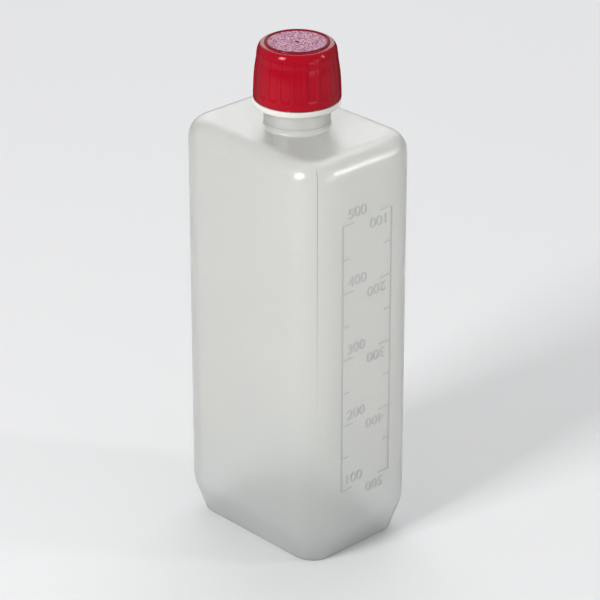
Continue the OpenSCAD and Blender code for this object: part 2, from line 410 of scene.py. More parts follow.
def split_position(tree):
    """The X, Y and Z of the surface, in the object's own frame."""
    position = tree.nodes.new("ShaderNodeTexCoord").outputs["Object"]
    node = place(tree, "ShaderNodeSeparateXYZ", Vector=position)
    return node.outputs["X"], node.outputs["Y"], node.outputs["Z"]


# the mould's parting plane stands on the axis and cuts the corners in this direction; its line is a fine
# ridge, which fades out towards the foot
SEAM_CORNER = Vector((-22.36, -34.16)).normalized()
SEAM_HALF_WIDTH = 0.22 * MM
SEAM_HEIGHT = 0.05 * MM
SEAM_BOTTOM = 30 * MM
SEAM_TOP = 160 * MM
NECK_LINE = 165.9 * MM
NECK_LINE_HALF = 0.16 * MM

# how strongly painted shade tints the foot (the shaded floor seen through the base, partly the thicker
# plastic there), the raised scale and the edges turned away
FOOT_SHADE = 0.6
FOOT_SHADE_TOP = 34 * MM
FOOT_SHADE_FULL = 8 * MM
SCALE_SHADE = 0.42
EDGE_SHADE = 0.85
NECK_EDGE_SHARE = 0.4


def seam_mask(tree, x, y, z):
    """1 on the mould's parting lines: one up two opposite corners, and one round the neck."""
    along = maths(tree, "MULTIPLY", y, SEAM_CORNER.x)
    off = maths(tree, "SUBTRACT", maths(tree, "MULTIPLY", x, SEAM_CORNER.y), along)
    line = ramp(tree, maths(tree, "ABSOLUTE", off), SEAM_HALF_WIDTH, 0.0)
    low_end = ramp(tree, z, SEAM_BOTTOM, SEAM_TOP)
    high_end = ramp(tree, z, SEAM_TOP + 3 * MM, SEAM_TOP)
    upright = maths(tree, "MULTIPLY", line, maths(tree, "MULTIPLY", low_end, high_end))
    level = ramp(tree, maths(tree, "ABSOLUTE", maths(tree, "SUBTRACT", z, NECK_LINE)), NECK_LINE_HALF, 0.0)
    return maths(tree, "MAXIMUM", upright, level)


def bottle_material():
    """Natural polyethylene: milky, satin, lets light through, with the mould's parting lines."""
    material, tree, shader = new_material("natural polyethylene")
    milky, clearer = (0.965, 0.972, 0.925), (0.985, 0.987, 0.94)
    foot_shade_colour = (0.93, 0.985, 0.99)
    scale_shade_colour = (0.40, 0.46, 0.48)
    seam_colour = (0.32, 0.34, 0.32)
    edge_shade_colour = (0.50, 0.55, 0.53)
    surface = moulded_surface(tree, waves=40.0, wave_height=0.00016, grains=1800.0, grain_height=0.000010)
    x, y, z = split_position(tree)
    seam = seam_mask(tree, x, y, z)
    ridge = place(tree, "ShaderNodeBump", Distance=SEAM_HEIGHT, Height=seam, Normal=surface.outputs["Normal"])
    raised = ramp(tree, y, -HALF_DEPTH - 0.3 * RELIEF, -HALF_DEPTH - 0.9 * RELIEF)
    tone = mix_colour(tree, surface.outputs["Drift"], milky, clearer)
    # painted shade: a bluish-grey darkening towards the foot, where the shaded floor shows through the base,
    # partly the thicker plastic there
    tone = mix_colour(tree, ramp(tree, z, FOOT_SHADE_TOP, FOOT_SHADE_FULL, 0.0, FOOT_SHADE), tone, foot_shade_colour)
    # painted shade: the raised scale is darkened to blue-grey, standing in for the shading of its relief
    tone = mix_colour(tree, maths(tree, "MULTIPLY", raised, SCALE_SHADE), tone, scale_shade_colour)
    tone = mix_colour(tree, seam, tone, seam_colour)
    # painted shade: the base colour darkens where the surface turns away from the eye, for the dark
    # surroundings seen through the wall at a grazing angle
    facing = tree.nodes.new("ShaderNodeLayerWeight").outputs["Facing"]
    edge = ramp(tree, facing, 0.7, 0.97, 0.0, EDGE_SHADE)
    on_neck = ramp(tree, z, SHOULDER_TOP, SHOULDER_TOP + 1.5 * MM, 1.0, NECK_EDGE_SHARE)
    tone = mix_colour(tree, maths(tree, "MULTIPLY", edge, on_neck), tone, edge_shade_colour)
    tree.links.new(tone, shader.inputs["Base Color"])
    tree.links.new(ramp(tree, surface.outputs["Drift"], 0.0, 1.0, 0.30, 0.35), shader.inputs["Roughness"])
    tree.links.new(ridge.outputs["Normal"], shader.inputs["Normal"])
    shader.inputs["IOR"].default_value = 1.5
    shader.inputs["Transmission Weight"].default_value = 0.8
    shader.inputs["Subsurface Weight"].default_value = 1.0
    shader.inputs["Subsurface Radius"].default_value = (1.0, 1.0, 1.0)
    shader.inputs["Subsurface Scale"].default_value = 0.003
    shader.inputs["Coat Weight"].default_value = 0.7
    shader.inputs["Coat Roughness"].default_value = 0.2
    coat_roughness = ramp(tree, z, SHOULDER_TOP - 0.8 * MM, SHOULDER_TOP - 0.2 * MM, 0.17, 0.26)
    tree.links.new(coat_roughness, shader.inputs["Coat Roughness"])
    return material


SIDE_GLOSS = 0.2
LEDGE_GLOSS = 0.8


def cap_material():
    """Glossy red plastic, spark-roughened to a matt face on the top disc."""
    material, tree, shader = new_material("red polypropylene")
    red_low, red_high = (0.31, 0.0003, 0.009), (0.36, 0.0005, 0.012)
    away_shade_red = (0.17, 0.0005, 0.007)
    rim_shade_red = (0.17, 0.003, 0.014)
    pit_sheen_colour, fleck_sheen_colour = (0.21, 0.078, 0.12), (0.62, 0.38, 0.48)
    gate_colour = (0.04, 0.008, 0.016)
    surface = moulded_surface(tree, waves=90.0, wave_height=0.00005, grains=1500.0, grain_height=0.000002)
    x, y, z = split_position(tree)
    squares = maths(tree, "ADD", maths(tree, "POWER", x, 2.0), maths(tree, "POWER", y, 2.0))
    radius = maths(tree, "SQRT", squares)
    inside = ramp(tree, radius, MATT_DISC_RADIUS + 0.15 * MM, MATT_DISC_RADIUS - 0.15 * MM)
    disc_floor = cap_high.z - CAP_RECESS
    matt = maths(tree, "MULTIPLY", inside, ramp(tree, z, disc_floor - 0.9 * MM, disc_floor - 0.6 * MM))
    position = tree.nodes.new("ShaderNodeTexCoord").outputs["Object"]
    pits = place(tree, "ShaderNodeTexNoise", Vector=position, Scale=1900.0, Detail=1.5, Roughness=0.6)
    stipple = place(
        tree,
        "ShaderNodeBump",
        Distance=0.00008,
        Height=maths(tree, "MULTIPLY", pits.outputs["Fac"], matt),
        Normal=surface.outputs["Normal"],
    )
    facing = tree.nodes.new("ShaderNodeLayerWeight").outputs["Facing"]
    turned_away = ramp(tree, facing, 0.2, 0.85)
    red = mix_colour(tree, surface.outputs["Drift"], red_low, red_high)
    # painted shade: the red darkens where the cap's side turns away from the eye
    red = mix_colour(tree, turned_away, red, away_shade_red)
    rim = ramp(tree, z, cap_high.z - 0.55 * MM, cap_high.z - 0.3 * MM)
    # painted shade: the top of the cap round the matt disc is a darker red, standing in for its shade
    red = mix_colour(tree, rim, red, rim_shade_red)
    # the speckle follows the disc's spark-eroded grain; its pale mauve, lighter than the red plastic, is
    # painted sheen
    speckled_sheen = mix_colour(tree, ramp(tree, pits.outputs["Fac"], 0.42, 0.58), pit_sheen_colour, fleck_sheen_colour)
    gate = ramp(tree, radius, GATE_RADIUS + 0.1 * MM, GATE_RADIUS - 0.25 * MM)
    speckled_sheen = mix_colour(tree, gate, speckled_sheen, gate_colour)
    tree.links.new(mix_colour(tree, matt, red, speckled_sheen), shader.inputs["Base Color"])
    tree.links.new(ramp(tree, matt, 0.0, 1.0, 0.14, 0.62), shader.inputs["Roughness"])

    # a clear gloss on the ledge, and a fainter one where the side faces the eye
    glossy = maths(tree, "SUBTRACT", 1.0, matt)
    facing_gloss = maths(tree, "MULTIPLY", maths(tree, "SUBTRACT", 1.0, turned_away), glossy)
    ledge_level = cap_high.z - CAP_DISC_RISE
    near_ledge = ramp(tree, z, ledge_level - 0.35 * MM, ledge_level - 0.05 * MM)
    below_rim = maths(tree, "SUBTRACT", 1.0, maths(tree, "MAXIMUM", rim, matt))
    ledge = maths(tree, "MULTIPLY", near_ledge, below_rim)
    side_coat = maths(tree, "MULTIPLY", facing_gloss, SIDE_GLOSS)
    coat = maths(tree, "MAXIMUM", side_coat, maths(tree, "MULTIPLY", ledge, LEDGE_GLOSS))
    tree.links.new(coat, shader.inputs["Coat Weight"])
    tree.links.new(ramp(tree, turned_away, 0.0, 1.0, 0.1, 0.0), shader.inputs["Specular IOR Level"])
    tree.links.new(stipple.outputs["Normal"], shader.inputs["Normal"])
    shader.inputs["IOR"].default_value = 1.5
    shader.inputs["Specular Tint"].default_value = (1.0, 0.35, 0.4, 1.0)
    shader.inputs["Coat Roughness"].default_value = 0.11
    shader.inputs["Specular IOR Level"].default_value = 0.1
    return material


def ring_material():
    """White satin plastic."""
    material, tree, shader = new_material("white polypropylene")
    surface = moulded_surface(tree, waves=120.0, wave_height=0.00004, grains=2200.0, grain_height=0.000006)
    tone = mix_colour(tree, surface.outputs["Drift"], (0.65, 0.625, 0.585), (0.69, 0.665, 0.625))
    tree.links.new(tone, shader.inputs["Base Color"])
    tree.links.new(surface.outputs["Normal"], shader.inputs["Normal"])
    shader.inputs["Roughness"].default_value = 0.32
    shader.inputs["Subsurface Weight"].default_value = 0.4
    shader.inputs["Subsurface Radius"].default_value = (1.0, 1.0, 1.0)
    shader.inputs["Subsurface Scale"].default_value = 0.0012
    return material


def liner_material():
    """Closed-cell white foam with fine pores."""
    material, tree, shader = new_material("foamed polyethylene")
    surface = moulded_surface(tree, waves=200.0, wave_height=0.00003, grains=1400.0, grain_height=0.00003)
    position = tree.nodes.new("ShaderNodeTexCoord").outputs["Object"]
    pores = place(tree, "ShaderNodeTexVoronoi", Vector=position, Scale=2200.0)
    pored = place(
        tree,
        "ShaderNodeBump",
        Distance=0.00003,
        Height=pores.outputs["Distance"],
        Normal=surface.outputs["Normal"],
    )
    tone = mix_colour(tree, surface.outputs["Drift"], (0.78, 0.78, 0.76), (0.84, 0.84, 0.82))
    tree.links.new(tone, shader.inputs["Base Color"])
    tree.links.new(pored.outputs["Normal"], shader.inputs["Normal"])
    shader.inputs["Roughness"].default_value = 0.7
    return material


# ================================================================ the bottle
def rounded_ring(half_x, half_y, radius, height):
    """One level of the body: a rounded rectangle, counter-clockwise from the middle of the +X side."""
    quarter = []
    half_side = SIDE_STEPS // 2
    for i in range(half_side):
        quarter.append((half_x, (half_y - radius) * i / half_side))
    for i in range(CORNER_STEPS):
        angle = math.pi / 2 * i / CORNER_STEPS
        x = half_x - radius + radius * math.cos(angle)
        quarter.append((x, half_y - radius + radius * math.sin(angle)))
    for i in range(half_side):
        quarter.append(((half_x - radius) * (1 - i / half_side), half_y))
    mirrored = [(-x, y) for x, y in reversed(quarter[1:])]
    top_half = quarter + [(0.0, half_y)] + mirrored
    bottom_half = [(-x, -y) for x, y in top_half]
    return [(x, y, height) for x, y in top_half + bottom_half]


def body_level(inset, height, least_radius=PANEL_RADIUS):
    """A level of the body set in from its walls; the corners keep their axes while they can."""
    radius = min(max(CORNER - inset, least_radius), 0.9 * (HALF_WIDTH - inset))
    return rounded_ring(HALF_WIDTH - inset, HALF_DEPTH - inset, radius, height)


def round_level(radius, height, start=None):
    """A level of the neck; with start, the thread stands out from it."""
    ring = []
    for k in range(RING_POINTS):
        angle = 2 * math.pi * k / RING_POINTS
        reach = radius
        if start is not None:
            reach += (THREAD_RADIUS - NECK_RADIUS) * thread_height(angle, height, start)
        ring.append((reach * math.cos(angle), reach * math.sin(angle), height))
    return ring


def between(first, second, share):
    """The level part of the way from one ring to another."""
    return [tuple(Vector(a).lerp(Vector(b), share)) for a, b in zip(first, second)]


def side_outline(skin):
    """(inset, height) from the foot to the shoulder, for a skin that far inside the outer one."""
    lean = math.degrees(math.atan2(FOOT_INSET, SLOPE_HEIGHT))
    foot = (FOOT_INSET + FOOT_RADIUS * math.tan(math.radians(90 - lean) / 2), FOOT_RADIUS)
    blend = (SLOPE_BLEND, SLOPE_HEIGHT + SLOPE_BLEND * math.tan(math.radians(lean) / 2))
    shoulder = (SHOULDER, SHOULDER_TOP - SHOULDER)
    points = arc(foot, FOOT_RADIUS - skin, -90, -180 + lean, 8)
    points += arc(blend, SLOPE_BLEND - skin, -180 + lean, -180, 12)
    low, high = blend[1], shoulder[1]
    near = 0.6 * MM
    points += [(skin, low + near)]
    points += [(skin, low + (high - low) * i / 12) for i in range(1, 12)]
    points += [(skin, high - near)]
    points += arc(shoulder, SHOULDER - skin, 180, 90, 16)
    return points


def base_levels(skin):
    """Levels of the base from its middle out to the foot: a shallow hollow panel inside a flat rim."""
    panel_edge = FOOT_INSET + BASE_RIM - skin
    run = 2 * BASE_HOLLOW
    top = BASE_HOLLOW + skin
    levels = [body_level(HALF_WIDTH * share, top) for share in (0.96, 0.8, 0.6)]
    steps = 8
    for i in range(steps, -1, -1):
        share = i / steps
        ease = share * share * (3 - 2 * share)
        levels.append(body_level(panel_edge + run * share, skin + BASE_HOLLOW * ease))
    return levels


def neck_outside():
    """(radius, height) up the outside of the neck, with True where the thread runs."""
    plain = arc((NECK_RADIUS + NECK_BLEND, SHOULDER_TOP + NECK_BLEND), NECK_BLEND, -90, -180, 10)
    plain += [(NECK_RADIUS, SHOULDER_TOP + NECK_BLEND + i * MM) for i in (0.4, 3, 6, 8)]
    plain += [
        (NECK_RADIUS, BEAD_BOTTOM - 0.15 * MM),
        (NECK_RADIUS + 0.15 * MM, BEAD_BOTTOM),
        (BEAD_RADIUS - 0.15 * MM, BEAD_BOTTOM),
        (BEAD_RADIUS, BEAD_BOTTOM + 0.15 * MM),
        (BEAD_RADIUS, BEAD_BOTTOM + 0.45 * MM),
        (BEAD_RADIUS - 0.1 * MM, BEAD_BOTTOM + 0.6 * MM),
        (NECK_RADIUS + 0.1 * MM, BEAD_BOTTOM + BEAD_HEIGHT - 0.1 * MM),
        (NECK_RADIUS, BEAD_BOTTOM + BEAD_HEIGHT),
    ]
    low = THREAD_START - THREAD_ROOT
    high = THREAD_START + THREAD_TURNS * THREAD_PITCH + THREAD_ROOT
    rows = round((high - low) / THREAD_ROW)
    thread = [(NECK_RADIUS, low + (high - low) * i / rows) for i in range(rows + 1)]
    lip = arc((NECK_RADIUS - LIP_ROUND, NECK_TOP - LIP_ROUND), LIP_ROUND, 0, 90, 6)
    lip += arc((NECK_BORE + LIP_ROUND, NECK_TOP - LIP_ROUND), LIP_ROUND, 90, 180, 6)
    return [(p, False) for p in plain] + [(p, True) for p in thread] + [(p, False) for p in lip]


def bottle_shell():
    """One closed skin: up the outside from the base to the lip, then down the inside to the base again."""
    levels = base_levels(0.0)
    levels += [body_level(inset, height) for inset, height in side_outline(0.0)]
    neck_foot = round_level(NECK_RADIUS + NECK_BLEND, SHOULDER_TOP)
    edge = body_level(SHOULDER, SHOULDER_TOP)
    levels += [between(edge, neck_foot, share) for share in (0.08, 0.35, 0.65, 0.92)]
    for (radius, height), threaded in neck_outside():
        levels.append(round_level(radius, height, THREAD_START if threaded else None))
    inside_top = SHOULDER_TOP - WALL
    down = arc((NECK_BORE + NECK_FLARE, inside_top + NECK_FLARE), NECK_FLARE, 180, 270, 10)
    levels += [round_level(NECK_BORE, NECK_TOP - i * MM) for i in (1, 6, 12, 20)]
    levels += [round_level(radius, height) for radius, height in down]
    inner_edge = body_level(SHOULDER, inside_top)
    levels += [between(levels[-1], inner_edge, share) for share in (0.08, 0.5, 0.92)]
    levels += [body_level(inset, height) for inset, height in reversed(side_outline(WALL))]
    levels += list(reversed(base_levels(WALL)))
    piece = loft("bottle_shell", levels)
    point_outwards(piece)
    return piece


def scale_marks_tree():
    """Geometry Nodes: an upright line with long and short ticks, and the same again upside down."""
    tree, given, result = new_group(
        "Scale marks",
        "GeometryNodeTree",
        [
            ("Geometry", "NodeSocketGeometry", None),
            ("Marks", "NodeSocketInt", 9),
            ("Mark Spacing", "NodeSocketFloat", 0.0136),
            ("First Mark", "NodeSocketFloat", 0.030),
            ("Long Tick", "NodeSocketFloat", 0.005),
            ("Short Tick", "NodeSocketFloat", 0.003),
            ("Line Width", "NodeSocketFloat", 0.0005),
            ("Half Width", "NodeSocketFloat", 0.012),
            ("Turned Rise", "NodeSocketFloat", 0.001),
            ("Face", "NodeSocketFloat", -0.036),
            ("Relief", "NodeSocketFloat", 0.0002),
            ("Sink", "NodeSocketFloat", 0.0004),
            ("Material", "NodeSocketMaterial", None),
        ],
        [("Geometry", "NodeSocketGeometry")],
    )
    value = given.outputs
    thickness = maths(tree, "ADD", value["Relief"], value["Sink"])
    level = maths(tree, "DIVIDE", maths(tree, "SUBTRACT", value["Sink"], value["Relief"]), 2.0)
    middle_y = maths(tree, "ADD", value["Face"], level)
    side = maths(tree, "MULTIPLY", value["Half Width"], -1.0)
    span = maths(tree, "MULTIPLY", maths(tree, "SUBTRACT", value["Marks"], 1.0), value["Mark Spacing"])
    middle_z = maths(tree, "ADD", value["First Mark"], maths(tree, "DIVIDE", span, 2.0))

    # the ticks
    start = place(tree, "ShaderNodeCombineXYZ", X=side, Y=middle_y, Z=value["First Mark"])
    step = place(tree, "ShaderNodeCombineXYZ", Z=value["Mark Spacing"])
    marks = place(
        tree,
        "GeometryNodeMeshLine",
        Count=value["Marks"],
        Start_Location=start.outputs[0],
        Offset=step.outputs[0],
    )
    odd = maths(tree, "MODULO", tree.nodes.new("GeometryNodeInputIndex").outputs[0], 2.0)
    shorter = maths(tree, "MULTIPLY", odd, maths(tree, "SUBTRACT", value["Long Tick"], value["Short Tick"]))
    length = maths(tree, "SUBTRACT", value["Long Tick"], shorter)
    size = place(tree, "ShaderNodeCombineXYZ", X=length, Y=thickness, Z=value["Line Width"])
    block = place(tree, "GeometryNodeMeshCube", Size=(1.0, 1.0, 1.0))
    shifted = place(
        tree, "GeometryNodeTransform", Geometry=block.outputs["Mesh"], Translation=(0.5, 0.0, 0.0)
    )
    ticks = place(
        tree,
        "GeometryNodeInstanceOnPoints",
        Points=marks.outputs["Mesh"],
        Instance=shifted.outputs["Geometry"],
        Scale=size.outputs[0],
    )

    # the upright line
    tall = maths(tree, "ADD", span, value["Line Width"])
    bar_size = place(tree, "ShaderNodeCombineXYZ", X=value["Line Width"], Y=thickness, Z=tall)
    bar_place = place(tree, "ShaderNodeCombineXYZ", X=side, Y=middle_y, Z=middle_z)
    bar = place(tree, "GeometryNodeMeshCube", Size=bar_size.outputs[0])
    upright = place(
        tree, "GeometryNodeTransform", Geometry=bar.outputs["Mesh"], Translation=bar_place.outputs[0]
    )
    half = tree.nodes.new("GeometryNodeJoinGeometry")
    tree.links.new(upright.outputs["Geometry"], half.inputs[0])
    tree.links.new(ticks.outputs["Instances"], half.inputs[0])

    # the same again, the other way up
    turned_z = maths(tree, "ADD", maths(tree, "MULTIPLY", middle_z, 2.0), value["Turned Rise"])
    twice = place(tree, "ShaderNodeCombineXYZ", Z=turned_z)
    turned = place(
        tree,
        "GeometryNodeTransform",
        Geometry=half.outputs[0],
        Translation=twice.outputs[0],
        Rotation=(0.0, math.pi, 0.0),
    )
    whole = tree.nodes.new("GeometryNodeJoinGeometry")
    tree.links.new(half.outputs[0], whole.inputs[0])
    tree.links.new(turned.outputs["Geometry"], whole.inputs[0])
    real = place(tree, "GeometryNodeRealizeInstances", Geometry=whole.outputs[0])
    finished = place(tree, "GeometryNodeSetMaterial", Geometry=real.outputs[0], Material=value["Material"])
    tree.links.new(finished.outputs[0], result.inputs[0])
    return tree


def number_relief(text, left, base, turned):
    """A raised number on the scale face, its lower left corner at (left, base); turned reads upside down."""
    curve = bpy.data.curves.new("number", "FONT")
    curve.body = text
    curve.size = 1.0
    curve.offset = LABEL_BOLD
    letters = bpy.data.objects.new("number", curve)
    bpy.context.scene.collection.objects.link(letters)
    bpy.context.view_layer.update()
    low_x, low_y = letters.bound_box[0][0], letters.bound_box[0][1]
    high_y = letters.bound_box[6][1]
    lift = LABEL_HEIGHT / (high_y - low_y)
    stretch = lift * LABEL_STRETCH
    curve.extrude = (RELIEF + RELIEF_SINK) / 2
    graph = bpy.context.evaluated_depsgraph_get()
    mesh = bpy.data.meshes.new_from_object(letters.evaluated_get(graph))
    bpy.data.objects.remove(letters)
    centre_z = FIRST_MARK + SCALE_STEP * (MARKS - 1) / 4
    fit = Matrix.Diagonal((stretch, lift, 1, 1)) @ Matrix.Translation((-low_x, -low_y, 0))
    face = HALF_DEPTH + (RELIEF - RELIEF_SINK) / 2
    stand = Matrix.Translation((left, -face, base)) @ Matrix.Rotation(math.pi / 2, 4, "X")
    mesh.transform(stand @ fit)
    if turned:
        about = Matrix.Translation((0, 0, 2 * centre_z + TURNED_RISE)) @ Matrix.Rotation(math.pi, 4, "Y")
        mesh.transform(about)
    piece = bpy.data.objects.new("number", mesh)
    bpy.context.scene.collection.objects.link(piece)
    point_outwards(piece)
    return piece


def unite(piece, other, solver, overlapping_itself=False):
    """Melts another piece into this one."""
    union = piece.modifiers.new("union", "BOOLEAN")
    union.operation = "UNION"
    union.solver = solver
    union.use_self = overlapping_itself
    union.object = other
    apply_modifiers(piece)
    bpy.data.objects.remove(other)


def scale_relief(material):
    """All the raised marks and numbers of the two-way scale as one object."""
    marks = bpy.data.objects.new("scale_marks", bpy.data.meshes.new("scale_marks"))
    bpy.context.scene.collection.objects.link(marks)
    run_nodes(
        marks,
        scale_marks_tree(),
        {
            "Marks": MARKS,
            "Mark Spacing": SCALE_STEP / 2,
            "First Mark": FIRST_MARK,
            "Long Tick": LONG_TICK,
            "Short Tick": SHORT_TICK,
            "Line Width": LINE_WIDTH,
            "Half Width": SCALE_HALF_WIDTH,
            "Turned Rise": TURNED_RISE,
            "Face": -HALF_DEPTH,
            "Relief": RELIEF,
            "Sink": RELIEF_SINK,
            "Material": material,
        },
    )
    numbers = []
    for hundreds in range(1, 6):
        base = FIRST_MARK + SCALE_STEP * (hundreds - 1) + LABEL_LIFT
        for turned in (False, True):
            numbers.append(number_relief(f"{hundreds}00", LABEL_INDENT - SCALE_HALF_WIDTH, base, turned))
    unite(marks, join("numbers", numbers), "EXACT", overlapping_itself=True)
    return marks


def make_bottle(material):
    """The bottle: its shell with the scale moulded on."""
    shell = bottle_shell()
    shell.data.materials.append(material)
    unite(shell, scale_relief(material), "MANIFOLD")
    smooth(shell)
    return shell


# ================================================================ the closure
def cap_side(height):
    """Radius of the cap's bowed side at a height above its lower edge."""
    return CAP_RADIUS - CAP_TAPER * (height / CAP_SIDE_TOP) ** CAP_SIDE_POWER


def cap_outline():
    """(radius, height) of the cap without its flutes, from its roof down the outside and up the inside."""
    floor = CAP_HEIGHT - CAP_RECESS
    ledge = CAP_HEIGHT - CAP_DISC_RISE
    rim_round = 0.2 * MM
    up = [
        (0.1 * MM, floor - GATE_DEPTH),
        (0.45 * MM, floor - GATE_DEPTH),
        (GATE_RADIUS - 0.1 * MM, floor - 0.12 * MM),
        (GATE_RADIUS + 0.05 * MM, floor),
        (4 * MM, floor),
        (8 * MM, floor),
        (CAP_DISC_RADIUS - 1.0 * MM, floor),
        (CAP_DISC_RADIUS - 0.85 * MM, floor + 0.04 * MM),
        (CAP_DISC_RADIUS - 0.6 * MM, CAP_HEIGHT - 0.06 * MM),
        (CAP_DISC_RADIUS - 0.45 * MM, CAP_HEIGHT),
    ]
    up += arc((CAP_DISC_RADIUS - rim_round, CAP_HEIGHT - rim_round), rim_round, 90, 0, 4)
    up += arc((CAP_DISC_RADIUS + rim_round, ledge + rim_round), rim_round, 180, 270, 4)
    shoulder_width = cap_side(CAP_SIDE_TOP) - CAP_LEDGE_RADIUS
    rises = [math.sin(math.pi / 2 * (1 - i / SHOULDER_STEPS)) for i in range(SHOULDER_STEPS + 1)]
    # more rows where the flutes run out
    rises += [(FLUTE_TOP - CAP_SIDE_TOP - i * 0.1 * MM) / (ledge - CAP_SIDE_TOP) for i in range(8)]
    for rise in sorted(rises, reverse=True):
        bow = math.sqrt(max(0.0, 1 - rise * rise))
        up.append((CAP_LEDGE_RADIUS + shoulder_width * bow, CAP_SIDE_TOP + rise * (ledge - CAP_SIDE_TOP)))
    low = CAP_LOWER_EDGE
    side = [CAP_SIDE_TOP + (low - CAP_SIDE_TOP) * i / SIDE_ROWS for i in range(1, SIDE_ROWS + 1)]
    up += [(cap_side(h), h) for h in side]
    up += arc((CAP_RADIUS - low, low), low, -30, -90, 3)
    up += [(CAP_INSIDE + 0.2 * MM, 0.0), (CAP_INSIDE, 0.2 * MM)]
    low_thread = THREAD_START - CAP_BOTTOM - CAP_THREAD_DROP - THREAD_ROOT
    high_thread = low_thread + 2 * THREAD_ROOT + THREAD_TURNS * THREAD_PITCH
    rows = round((high_thread - low_thread) / THREAD_ROW)
    up += [(CAP_INSIDE, low_thread + (high_thread - low_thread) * i / rows) for i in range(rows + 1)]
    roof = CAP_HEIGHT - CAP_ROOF
    up += [
        (CAP_INSIDE, CAP_NARROW_FROM),
        (CAP_UPPER_INSIDE, CAP_NARROW_TO),
        (CAP_UPPER_INSIDE, roof - 0.3 * MM),
        (CAP_UPPER_INSIDE - 0.3 * MM, roof),
        (6 * MM, roof),
    ]
    return [(r, CAP_BOTTOM + h) for r, h in up]


def cap_inner_thread(radius, height, angle):
    """Lets the thread stand in from the cap's inner wall."""
    if abs(radius - CAP_INSIDE) > 1e-7:
        return radius
    stand = thread_height(angle % (2 * math.pi), height, THREAD_START - CAP_THREAD_DROP)
    return radius - (CAP_INSIDE - CAP_THREAD_RADIUS) * stand


def flutes_tree():
    """Geometry Nodes: sinks shallow flutes into a turned cap's side, with round ends and eased edges."""
    tree, given, result = new_group(
        "Cap flutes",
        "GeometryNodeTree",
        [
            ("Geometry", "NodeSocketGeometry", None),
            ("Ribs", "NodeSocketFloat", 20.0),
            ("Turn", "NodeSocketFloat", 0.0),
            ("Depth", "NodeSocketFloat", 0.0004),
            ("Edge", "NodeSocketFloat", 0.0),
            ("Inner Radius", "NodeSocketFloat", 0.0145),
            ("Bottom", "NodeSocketFloat", 0.179),
            ("Top", "NodeSocketFloat", 0.195),
            ("Material", "NodeSocketMaterial", None),
        ],
        [("Geometry", "NodeSocketGeometry")],
    )
    value = given.outputs
    position = tree.nodes.new("GeometryNodeInputPosition").outputs[0]
    split = place(tree, "ShaderNodeSeparateXYZ", Vector=position)
    x, y, z = split.outputs["X"], split.outputs["Y"], split.outputs["Z"]
    flat = place(tree, "ShaderNodeCombineXYZ", X=x, Y=y)
    length = tree.nodes.new("ShaderNodeVectorMath")
    length.operation = "LENGTH"
    tree.links.new(flat.outputs[0], length.inputs[0])
    radius = length.outputs["Value"]

    # 0 on a rib, 1 in a flute, eased at the flute's edges
    angle = maths(tree, "SUBTRACT", maths(tree, "ARCTAN2", y, x), value["Turn"])
    wave = maths(tree, "COSINE", maths(tree, "MULTIPLY", angle, value["Ribs"]))
    across = ramp(tree, maths(tree, "SUBTRACT", value["Edge"], wave), -FLUTE_EDGE, FLUTE_EDGE)

    # the flute's round ends: less long near its edges
    arch = maths(tree, "MULTIPLY", maths(tree, "ADD", wave, 1.0), FLUTE_ARCH)
    above = maths(tree, "SUBTRACT", maths(tree, "SUBTRACT", value["Top"], arch), z)
    below = maths(tree, "SUBTRACT", maths(tree, "SUBTRACT", z, value["Bottom"]), arch)
    top_end = ramp(tree, above, 0.0, FLUTE_TOP_EASE)
    ends = maths(tree, "MULTIPLY", top_end, ramp(tree, below, 0.0, FLUTE_BOTTOM_EASE))
    outside = maths(tree, "GREATER_THAN", radius, value["Inner Radius"])
    share = maths(tree, "MULTIPLY", maths(tree, "MULTIPLY", across, ends), outside)
    depth = maths(tree, "MULTIPLY", share, value["Depth"])
    inward = tree.nodes.new("ShaderNodeVectorMath")
    inward.operation = "NORMALIZE"
    tree.links.new(flat.outputs[0], inward.inputs[0])
    offset = tree.nodes.new("ShaderNodeVectorMath")
    offset.operation = "SCALE"
    tree.links.new(inward.outputs["Vector"], offset.inputs[0])
    tree.links.new(maths(tree, "MULTIPLY", depth, -1.0), offset.inputs["Scale"])
    moved = place(
        tree, "GeometryNodeSetPosition", Geometry=value["Geometry"], Offset=offset.outputs["Vector"]
    )
    real = place(tree, "GeometryNodeRealizeInstances", Geometry=moved.outputs[0])
    finished = place(tree, "GeometryNodeSetMaterial", Geometry=real.outputs[0], Material=value["Material"])
    tree.links.new(finished.outputs[0], result.inputs[0])
    return tree


def make_cap(material):
    """The screw cap: turned, then fluted, with its thread inside."""
    pitch = 2 * math.pi / RIBS
    angles = [RIB_TURN + pitch * (rib + share) for rib in range(RIBS) for share in RIB_POINTS]
    cap = lathe("screw_cap_shell", cap_outline(), angles, cap_inner_thread)
    point_outwards(cap)
    run_nodes(
        cap,
        flutes_tree(),
        {
            "Ribs": float(RIBS),
            "Turn": RIB_TURN,
            "Depth": FLUTE_DEPTH,
            "Edge": -math.cos(math.pi * FLUTE_SHARE),
            "Inner Radius": CAP_INSIDE + 0.05 * MM,
            "Bottom": CAP_BOTTOM + CAP_BAND - 0.3 * MM,
            "Top": CAP_BOTTOM + FLUTE_TOP,
            "Material": material,
        },
    )
    smooth(cap, 40)
    return cap


